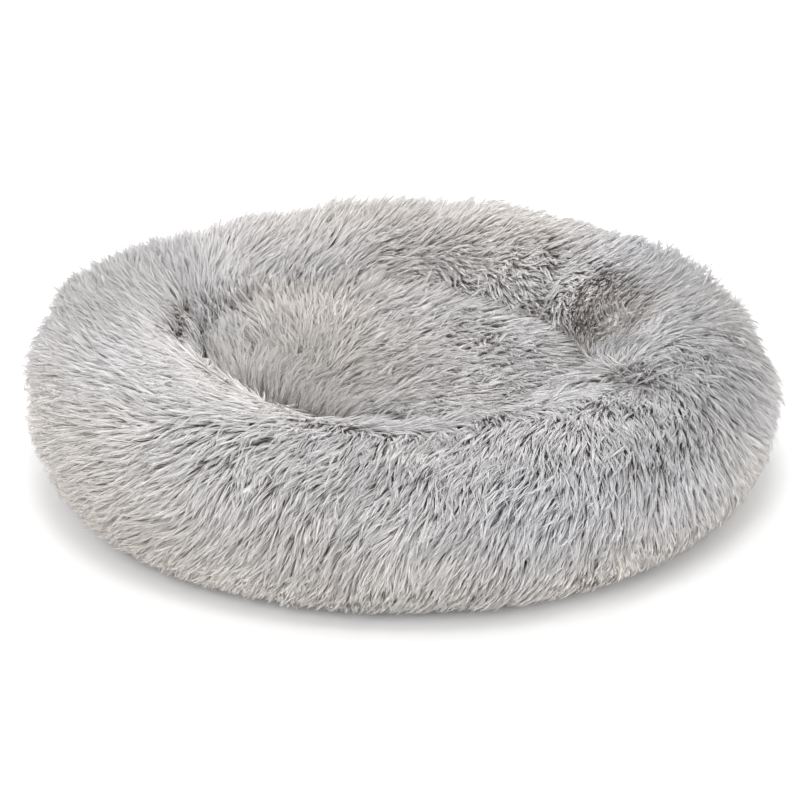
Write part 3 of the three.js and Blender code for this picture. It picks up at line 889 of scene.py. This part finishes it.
def centre_fill_section(t):
    sr, sz = cushion_side(t, 3.4)
    u = np.array([0.99, 0.97, 0.93, 0.87, 0.78, 0.65, 0.5, 0.35, 0.2, 0.08, 0.0])[None]
    cr, cz = crown_rz(t, 18.6, u)
    one = np.ones_like(t)
    r = np.concatenate([one * 0, one * 60, one * 140, sr, cr], 1)
    z = np.concatenate([one * 12.2, one * 12.2, one * 12.2, sz, cz], 1)
    return resampled(r, z, 80)


FILL_LUMPS, FILL_FINE = Ripple(41, 40, 110), Ripple(42, 12, 28)


def centre_fluff(pts, t):
    flat = pts.reshape(-1, 3)
    c = np.array([CENTRE[0], CENTRE[1], 45.0])
    d = flat - c
    r = np.hypot(d[:, 0], d[:, 1])
    h = 2.2 + 1.6 * np.tanh(FILL_LUMPS(flat)) + 0.5 * np.tanh(FILL_FINE(flat))
    out = flat.copy()
    out[:, :2] -= d[:, :2] / np.maximum(r, 1)[:, None] * (h * smooth(r, 20, 120))[:, None]
    up = smooth(flat[:, 2], 40, 70)
    out[:, 2] -= h * up
    out[:, 2] += 0.6 * h * (1 - smooth(flat[:, 2], 12, 20))
    return out.reshape(pts.shape)


centre_fill = add(ring_grid("centre_filling", centre_fill_section, 240, centre_fluff, close_v=False), "root", "fibre_filling", "floor_fill")


# the tape sewn along the inner seam, down in the crease
def seam_tape_section(t):
    w = np.linspace(0, 1, 9)[None]
    re, cz = floor_edge(t), crease_z(t)
    ripple = 0.25 * np.sin(220 * t) * (w - 0.5)
    r0, z0 = re - 0.8 + 9.4 * w, cz - 2.6 + 1.6 * w ** 2 * 0.6 + ripple
    r1, z1 = r0, z0 - 0.8
    return np.concatenate([r0, r1[:, ::-1]], 1), np.concatenate([z0, z1[:, ::-1]], 1)


seam_tape = add(ring_grid("inner_seam_tape_cloth", seam_tape_section, 900), "root", "seam_tape", "inner_seam_tape")


# ------------------------------------------------------------------ underside
def base_edge(t):
    return rim_rz(t, -72.0, 0.0, 0.8)[0]


BASE_RIPPLE = Ripple(51, 25, 90)


def base_height(x, y):
    """The base cloth's lower face: flat, lifted into a shallow trough along the zip."""
    rise = (1 - smooth(np.abs(y), 14, 27)) * (1 - smooth(np.abs(x), 209, 219))
    pull = np.exp(-((np.abs(y) - 30) / 22) ** 2) * (1 - smooth(np.abs(x), 200, 260))
    crease = 0.22 * (0.5 + 0.5 * np.sin(x / 4.1 + 2.0 * np.sin(x / 37))) * pull
    q = np.stack([x, y, 0 * x], -1).reshape(-1, 3)
    soft = 0.16 * (0.5 + 0.5 * np.tanh(BASE_RIPPLE(q))).reshape(x.shape)
    return 0.55 + 2.1 * rise + (crease + soft) * (1 - rise)


def base_cloth(name, sign, node):
    th = np.linspace(0.004, math.pi - 0.004, 320)
    tt = th if sign > 0 else -th
    R = base_edge(tt) - 0.4
    x = R * np.cos(th)
    y1 = np.abs(R * np.sin(th))
    y0 = 0.3 + 7.8 * (1 - smooth(np.abs(x), 208, 222))
    y1 = np.maximum(y1, y0 + 0.3)
    v = np.linspace(0, 1, 72) ** 1.25
    X = np.repeat(x[:, None], len(v), 1)
    Y = (y0[:, None] + (y1 - y0)[:, None] * v[None]) * sign
    Z = base_height(X, Y)
    low = np.stack([X + CENTRE[0], Y + CENTRE[1], Z], -1)
    high = low + np.array([0, 0, 0.95])
    pts = np.concatenate([low, high[:, ::-1]], 1)
    ob = grid_mesh(name, pts, close_u=False)
    # close the two pointed ends
    me = ob.data
    bm = bmesh.new(); bm.from_mesh(me)
    bmesh.ops.holes_fill(bm, edges=[e for e in bm.edges if e.is_boundary], sides=0)
    bmesh.ops.triangulate(bm, faces=[f for f in bm.faces if len(f.verts) > 4])
    bmesh.ops.recalc_face_normals(bm, faces=bm.faces)
    bm.to_mesh(me); bm.free()
    me.shade_smooth()
    add(ob, "root", "base_cloth", node)
    return ob


base_rear = base_cloth("base_cloth_rear", 1, "base_panel_rear")
base_front = base_cloth("base_cloth_front", -1, "base_panel_front")

# grip dots printed on the base cloth
dots = []
dome = []
for lat in (0.0, 0.55, 1.05):
    for k in range(8):
        dome.append((math.cos(lat) * math.cos(k * math.pi / 4), math.cos(lat) * math.sin(k * math.pi / 4), -math.sin(lat)))
dome.append((0, 0, -1)); dome = np.array(dome)
dome_faces = [tuple(range(8))]
for ring in range(2):
    for k in range(8):
        a, b = ring * 8 + k, ring * 8 + (k + 1) % 8
        dome_faces.append((a, a + 8, b + 8, b))
for k in range(8):
    dome_faces.append((16 + k, 24, 16 + (k + 1) % 8))
PITCH = 11.0
for i in range(-26, 27):
    for j in range(-30, 31):
        x, y = (i + 0.5 * (j % 2)) * PITCH, (j + 0.5) * PITCH * 0.866
        r, t_ = math.hypot(x, y), math.atan2(y, x)
        if r > base_edge(np.array(t_)) - 12 or (abs(y) < 33 and abs(x) < 226) or abs(y) < 3:
            continue
        z = float(base_height(np.array([x]), np.array([y]))[0])
        d = dome * np.array([1.7, 1.7, z - 0.06]) + np.array([x + CENTRE[0], y + CENTRE[1], z + 0.05])
        dots.append((d, dome_faces))
grip = add(joined("base_grip_dots", dots), "root", "base_cloth")


# binding sewn round the base cloth's edge
def binding_section(t):
    w = np.linspace(0, 2 * math.pi, 20, endpoint=False)[None]
    R = base_edge(t) + 2.6
    pinch = 0.14 * np.sin(260 * t)
    r = R + 1.9 * np.sign(np.cos(w)) * np.abs(np.cos(w)) ** 0.7
    z = 2.1 + (1.6 + pinch * 0.6) * np.sign(np.sin(w)) * np.abs(np.sin(w)) ** 0.8
    return r, z


binding = add(ring_grid("base_binding_tape", binding_section, 1100), "root", "binding", "base_binding")


def stitches(path, length, gap, radius, closed=True, dip=0.25):
    """Short thread stitches along a path of points, each a small bar whose ends dip into the cloth."""
    path = np.asarray(path, float)
    seg = np.linalg.norm(np.diff(path, axis=0), axis=1)
    s_ = np.concatenate([[0], np.cumsum(seg)])
    out, at = [], 0.0
    while at + length < s_[-1]:
        q = np.linspace(at, at + length, 5)
        p = np.stack([np.interp(q, s_, path[:, k]) for k in range(3)], 1)
        p[0, 2] += dip; p[-1, 2] += dip
        out.append(loft(p, [radius * 0.6, radius, radius, radius, radius * 0.6], 5))
        at += length + gap
    return out


th = np.linspace(0, 2 * math.pi, 1500)
edge_r = base_edge(th) + 2.6
thread = stitches(np.stack([edge_r * np.cos(th) + CENTRE[0], edge_r * np.sin(th) + CENTRE[1], np.full(len(th), 0.42)], -1), 3.4, 1.2, 0.22)
for sgn in (1, -1):
    for yy in (10.5, 13.0):
        x = np.linspace(-208, 208, 200)
        z = base_height(x, np.full(len(x), float(yy))) - 0.06
        thread += stitches(np.stack([x + CENTRE[0], np.full(len(x), yy * sgn + CENTRE[1]), z], -1), 2.8, 1.0, 0.2)
stitching = add(joined("base_stitching", thread), "root", "binding")

# blank care label, a satin ribbon under the rim's rear edge
e90 = float(base_edge(np.array(math.pi / 2)))
lx, ly = np.linspace(-17.6, 17.6, 40), np.linspace(0, 1, 44)
LX, LY = np.meshgrid(lx, ly, indexing="ij")
lz = 0.42 + 0.10 * np.sin(LY * 9 + LX / 11) * LY + 0.05 * np.cos(LX / 5)
label_low = np.stack([LX + CENTRE[0], e90 + 5.4 + 31.4 * LY + CENTRE[1] + 0.3 * np.sin(LX / 7), lz], -1)
label_pts = np.concatenate([label_low, (label_low + np.array([0, 0, 0.35]))[:, ::-1]], 1)
label = grid_mesh("care_label_ribbon", label_pts, close_u=False)
bm = bmesh.new(); bm.from_mesh(label.data)
bmesh.ops.holes_fill(bm, edges=[e for e in bm.edges if e.is_boundary], sides=0)
bmesh.ops.triangulate(bm, faces=[f for f in bm.faces if len(f.verts) > 4])
bmesh.ops.recalc_face_normals(bm, faces=bm.faces)
bm.to_mesh(label.data); bm.free()
label.data.shade_smooth()
add(label, "root", "label", "care_label")


# ------------------------------------------------------------------ zip
def zip_tape(name, sign, node):
    x = np.linspace(-209.6, 209.6, 300)
    y = np.linspace(3.2, 15.8, 15)
    X, Y = np.meshgrid(x, y * sign, indexing="ij")
    rib = 0.07 * np.cos((np.abs(Y) - 3.2) * 2 * math.pi / 2.6) + 0.05 * np.sin(X / 3.3 + np.abs(Y) * 0.4)
    low = np.stack([X + CENTRE[0], Y + CENTRE[1], 4.50 + rib], -1)
    high = low + np.array([0, 0, 0.4])
    ob = grid_mesh(name, np.concatenate([low, high[:, ::-1]], 1), close_u=False)
    bm = bmesh.new(); bm.from_mesh(ob.data)
    bmesh.ops.holes_fill(bm, edges=[e for e in bm.edges if e.is_boundary], sides=0)
    bmesh.ops.triangulate(bm, faces=[f for f in bm.faces if len(f.verts) > 4])
    bmesh.ops.recalc_face_normals(bm, faces=bm.faces)
    bm.to_mesh(ob.data); bm.free()
    ob.data.shade_smooth()
    add(ob, "root", "zip_tape", node)
    return ob


tape_rear = zip_tape("zip_tape_cloth_rear", 1, "zip_tape_rear")
tape_front = zip_tape("zip_tape_cloth_front", -1, "zip_tape_front")


def coil(name, sign, node):
    """One side of the zip: a flattened nylon helix whose heads meet the other side's."""
    turns, per = 262, 12
    n = turns * per
    s_ = np.arange(n) / per
    w = s_ * 2 * math.pi
    x = -198.6 + (397.2) * s_ / turns + 0.38 * np.sin(2 * w) * 0.3 + (0.38 if sign > 0 else -0.38)
    c = np.cos(w)
    y = 1.55 + 0.78 * np.sign(c) * np.abs(c) ** 0.8
    z = 4.7 + 0.66 * np.sin(w)
    path = np.stack([np.clip(x, -199.0, 199.0) + CENTRE[0], y * sign + CENTRE[1], z], -1)
    return add(joined(name, [loft(path, 0.31, 5, up=(1, 0, 0))]), "root", "zip_coil", node)


coil_rear = coil("zip_helix_rear", 1, "zip_coil_rear")
coil_front = coil("zip_helix_front", -1, "zip_coil_front")

for node in ("zip_stop_closed_end", "zip_stop_open_end", "zip_slider", "zip_pull"):
    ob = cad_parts[node]
    bevel = ob.modifiers.new("worn_edges", "BEVEL")
    bevel.width = 0.0003 if "pull" not in node else 0.0002
    bevel.segments = 3
    bevel.limit_method = "ANGLE"
    bevel.angle_limit = math.radians(40)

# ------------------------------------------------------------------ cloth, fibre, plastic and metal
def woven(name, dark, light, scale, twist=0.0, bump=0.25, rough=0.85, sheen=0.2, mottle=0.12):
    """Cloth with a warp and weft at a real scale, soft mottling and a little sheen."""
    m, nt, bsdf = material(name)
    N, L = nt.nodes, nt.links
    co = N.new("ShaderNodeTexCoord")
    turn = N.new("ShaderNodeMapping")
    turn.inputs["Rotation"].default_value = (0, 0, twist)
    L.new(co.outputs["Object"], turn.inputs["Vector"])
    waves = []
    for axis in ("X", "Y"):
        w = N.new("ShaderNodeTexWave")
        w.wave_type, w.bands_direction, w.wave_profile = "BANDS", axis, "SIN"
        w.inputs["Scale"].default_value = scale
        w.inputs["Distortion"].default_value = 0.6
        w.inputs["Detail"].default_value = 1.5
        L.new(turn.outputs["Vector"], w.inputs["Vector"])
        waves.append(w)
    both = N.new("ShaderNodeMath"); both.operation = "MAXIMUM"
    L.new(waves[0].outputs["Fac"], both.inputs[0]); L.new(waves[1].outputs["Fac"], both.inputs[1])
    fleck = N.new("ShaderNodeTexNoise")
    fleck.inputs["Scale"].default_value = 60; fleck.inputs["Detail"].default_value = 6
    L.new(co.outputs["Object"], fleck.inputs["Vector"])
    tone = N.new("ShaderNodeMath"); tone.operation = "MULTIPLY_ADD"
    L.new(fleck.outputs["Fac"], tone.inputs[0]); tone.inputs[1].default_value = mottle * 4
    L.new(both.outputs["Value"], tone.inputs[2])
    ramp = N.new("ShaderNodeValToRGB")
    ramp.color_ramp.elements[0].position, ramp.color_ramp.elements[0].color = 0.15, (*dark, 1)
    ramp.color_ramp.elements[1].position, ramp.color_ramp.elements[1].color = 1.0, (*light, 1)
    L.new(tone.outputs["Value"], ramp.inputs["Fac"])
    L.new(ramp.outputs["Color"], bsdf.inputs["Base Color"])
    b = N.new("ShaderNodeBump"); b.inputs["Strength"].default_value = bump; b.inputs["Distance"].default_value = 0.0003
    L.new(both.outputs["Value"], b.inputs["Height"]); L.new(b.outputs["Normal"], bsdf.inputs["Normal"])
    bsdf.inputs["Roughness"].default_value = rough
    bsdf.inputs["Sheen Weight"].default_value = sheen
    bsdf.inputs["Specular IOR Level"].default_value = 0.3
    return m


def fibrous(name, dark, light, scale, bump=0.5):
    """Wadding or felt-like non-woven cloth: tangled noise, matt."""
    m, nt, bsdf = material(name)
    N, L = nt.nodes, nt.links
    co = N.new("ShaderNodeTexCoord")
    stretch = N.new("ShaderNodeMapping"); stretch.inputs["Scale"].default_value = (1, 1, 2.2)
    L.new(co.outputs["Object"], stretch.inputs["Vector"])
    a = N.new("ShaderNodeTexNoise"); a.inputs["Scale"].default_value = scale
    a.inputs["Detail"].default_value = 8; a.inputs["Roughness"].default_value = 0.65; a.inputs["Distortion"].default_value = 1.2
    L.new(stretch.outputs["Vector"], a.inputs["Vector"])
    big = N.new("ShaderNodeTexNoise"); big.inputs["Scale"].default_value = scale / 9
    L.new(co.outputs["Object"], big.inputs["Vector"])
    mix = N.new("ShaderNodeMath"); mix.operation = "MULTIPLY"
    L.new(a.outputs["Fac"], mix.inputs[0]); L.new(big.outputs["Fac"], mix.inputs[1])
    ramp = N.new("ShaderNodeValToRGB")
    ramp.color_ramp.elements[0].position, ramp.color_ramp.elements[0].color = 0.10, (*dark, 1)
    ramp.color_ramp.elements[1].position, ramp.color_ramp.elements[1].color = 0.42, (*light, 1)
    L.new(mix.outputs["Value"], ramp.inputs["Fac"])
    L.new(ramp.outputs["Color"], bsdf.inputs["Base Color"])
    b = N.new("ShaderNodeBump"); b.inputs["Strength"].default_value = bump; b.inputs["Distance"].default_value = 0.0006
    L.new(a.outputs["Fac"], b.inputs["Height"]); L.new(b.outputs["Normal"], bsdf.inputs["Normal"])
    bsdf.inputs["Roughness"].default_value = 0.95
    bsdf.inputs["Sheen Weight"].default_value = 0.3
    return m


def metal(name, dark, light):
    """Cast zinc with a dull plate finish: fine scratches and darker worn spots."""
    m, nt, bsdf = material(name)
    N, L = nt.nodes, nt.links
    co = N.new("ShaderNodeTexCoord")
    pull = N.new("ShaderNodeMapping"); pull.inputs["Scale"].default_value = (60, 900, 900)
    L.new(co.outputs["Object"], pull.inputs["Vector"])
    scratch = N.new("ShaderNodeTexNoise"); scratch.inputs["Scale"].default_value = 3; scratch.inputs["Detail"].default_value = 5
    L.new(pull.outputs["Vector"], scratch.inputs["Vector"])
    ramp = N.new("ShaderNodeValToRGB")
    ramp.color_ramp.elements[0].color, ramp.color_ramp.elements[1].color = (*dark, 1), (*light, 1)
    L.new(scratch.outputs["Fac"], ramp.inputs["Fac"]); L.new(ramp.outputs["Color"], bsdf.inputs["Base Color"])
    rough = N.new("ShaderNodeMapRange")
    rough.inputs["To Min"].default_value, rough.inputs["To Max"].default_value = 0.28, 0.5
    L.new(scratch.outputs["Fac"], rough.inputs["Value"]); L.new(rough.outputs["Result"], bsdf.inputs["Roughness"])
    bsdf.inputs["Metallic"].default_value = 1.0
    return m


def plastic(name, dark, light, scale):
    m, nt, bsdf = material(name)
    N, L = nt.nodes, nt.links
    co = N.new("ShaderNodeTexCoord")
    n = N.new("ShaderNodeTexNoise"); n.inputs["Scale"].default_value = scale; n.inputs["Detail"].default_value = 4
    L.new(co.outputs["Object"], n.inputs["Vector"])
    ramp = N.new("ShaderNodeValToRGB")
    ramp.color_ramp.elements[0].position, ramp.color_ramp.elements[1].position = 0.3, 0.7
    ramp.color_ramp.elements[0].color, ramp.color_ramp.elements[1].color = (*dark, 1), (*light, 1)
    L.new(n.outputs["Fac"], ramp.inputs["Fac"]); L.new(ramp.outputs["Color"], bsdf.inputs["Base Color"])
    r = N.new("ShaderNodeMapRange")
    r.inputs["To Min"].default_value, r.inputs["To Max"].default_value = 0.35, 0.55
    L.new(n.outputs["Fac"], r.inputs["Value"]); L.new(r.outputs["Result"], bsdf.inputs["Roughness"])
    return m


LINER = fibrous("liner_nonwoven", (0.62, 0.62, 0.61), (0.80, 0.80, 0.79), 420, 0.25)
FIBRE = fibrous("wadding", (0.66, 0.66, 0.66), (0.88, 0.88, 0.87), 150, 0.9)
BASE = woven("base_weave", (0.19, 0.185, 0.185), (0.36, 0.355, 0.35), 620, bump=0.35)
BINDING = woven("binding_twill", (0.27, 0.26, 0.255), (0.46, 0.45, 0.44), 800, twist=0.785)
SEAM_TAPE = woven("seam_tape_weave", (0.45, 0.44, 0.43), (0.66, 0.65, 0.64), 700)
TAPE = woven("zip_tape_weave", (0.30, 0.295, 0.29), (0.50, 0.49, 0.485), 900, twist=0.785)
LABEL = woven("label_satin", (0.70, 0.70, 0.69), (0.86, 0.86, 0.85), 1400, rough=0.5, sheen=0.4, mottle=0.04)
NYLON = plastic("zip_nylon", (0.30, 0.295, 0.29), (0.44, 0.435, 0.43), 900)
DOTS = plastic("grip_vinyl", (0.09, 0.09, 0.09), (0.15, 0.148, 0.146), 700)
THREAD = plastic("thread", (0.55, 0.54, 0.53), (0.72, 0.71, 0.70), 1500)
ZINC = metal("zip_zinc", (0.38, 0.38, 0.385), (0.62, 0.62, 0.63))

for ob, m in ((rim_liner, LINER), (centre_liner, LINER), (rim_fill, FIBRE), (centre_fill, FIBRE), (seam_tape, SEAM_TAPE),
              (base_rear, BASE), (base_front, BASE), (grip, DOTS), (binding, BINDING), (stitching, THREAD), (label, LABEL),
              (tape_rear, TAPE), (tape_front, TAPE), (coil_rear, NYLON), (coil_front, NYLON)):
    ob.data.materials.append(m)
for node in ("zip_stop_closed_end", "zip_stop_open_end", "zip_slider", "zip_pull"):
    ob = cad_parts[node]
    ob.data.materials.clear() if not ob.material_slots else None
    if ob.material_slots:
        for sl in ob.material_slots:
            sl.link = "OBJECT"
            sl.material = ZINC
    else:
        ob.data.materials.append(ZINC)

# ------------------------------------------------------------------ stage and light
bpy.ops.mesh.primitive_plane_add(size=24, location=(0, 0, -0.0005))
ground = bpy.context.object
ground.name = "studio_floor"
gm, gnt, gb = material("studio_floor")
gb.inputs["Base Color"].default_value = (0.93, 0.93, 0.93, 1)
gb.inputs["Roughness"].default_value = 0.9
gb.inputs["Specular IOR Level"].default_value = 0.1
ground.data.materials.append(gm)

world = bpy.data.worlds.new("studio")
world.use_nodes = True
world.node_tree.nodes["Background"].inputs["Color"].default_value = (1, 1, 1, 1)
world.node_tree.nodes["Background"].inputs["Strength"].default_value = 1.0
scene.world = world


def softbox(name, location, size, power, target=(0, 0, 0.08), color=(1, 1, 1)):
    d = bpy.data.lights.new(name, "AREA")
    d.shape, d.size, d.size_y, d.energy, d.color = "RECTANGLE", size, size, power, color
    o = bpy.data.objects.new(name, d)
    scene.collection.objects.link(o)
    o.location = location
    o.rotation_mode = "QUATERNION"
    o.rotation_quaternion = (Vector(target) - Vector(location)).to_track_quat("-Z", "Y")
    return o


softbox("key", (-1.05, -2.4, 1.9), 1.5, 30)
softbox("fill", (1.5, -2.2, 1.1), 1.5, 14, color=(0.97, 0.985, 1.0))
rear = softbox("rear", (0.0, -0.8, 2.1), 0.8, 2.2, target=(0.0, 0.40, 0.13), color=(1.0, 0.99, 0.98))
rear.data.spread = math.radians(54)
softbox("top", (-0.3, 0.9, 2.6), 1.6, 13)
scene.view_settings.view_transform = "Standard"
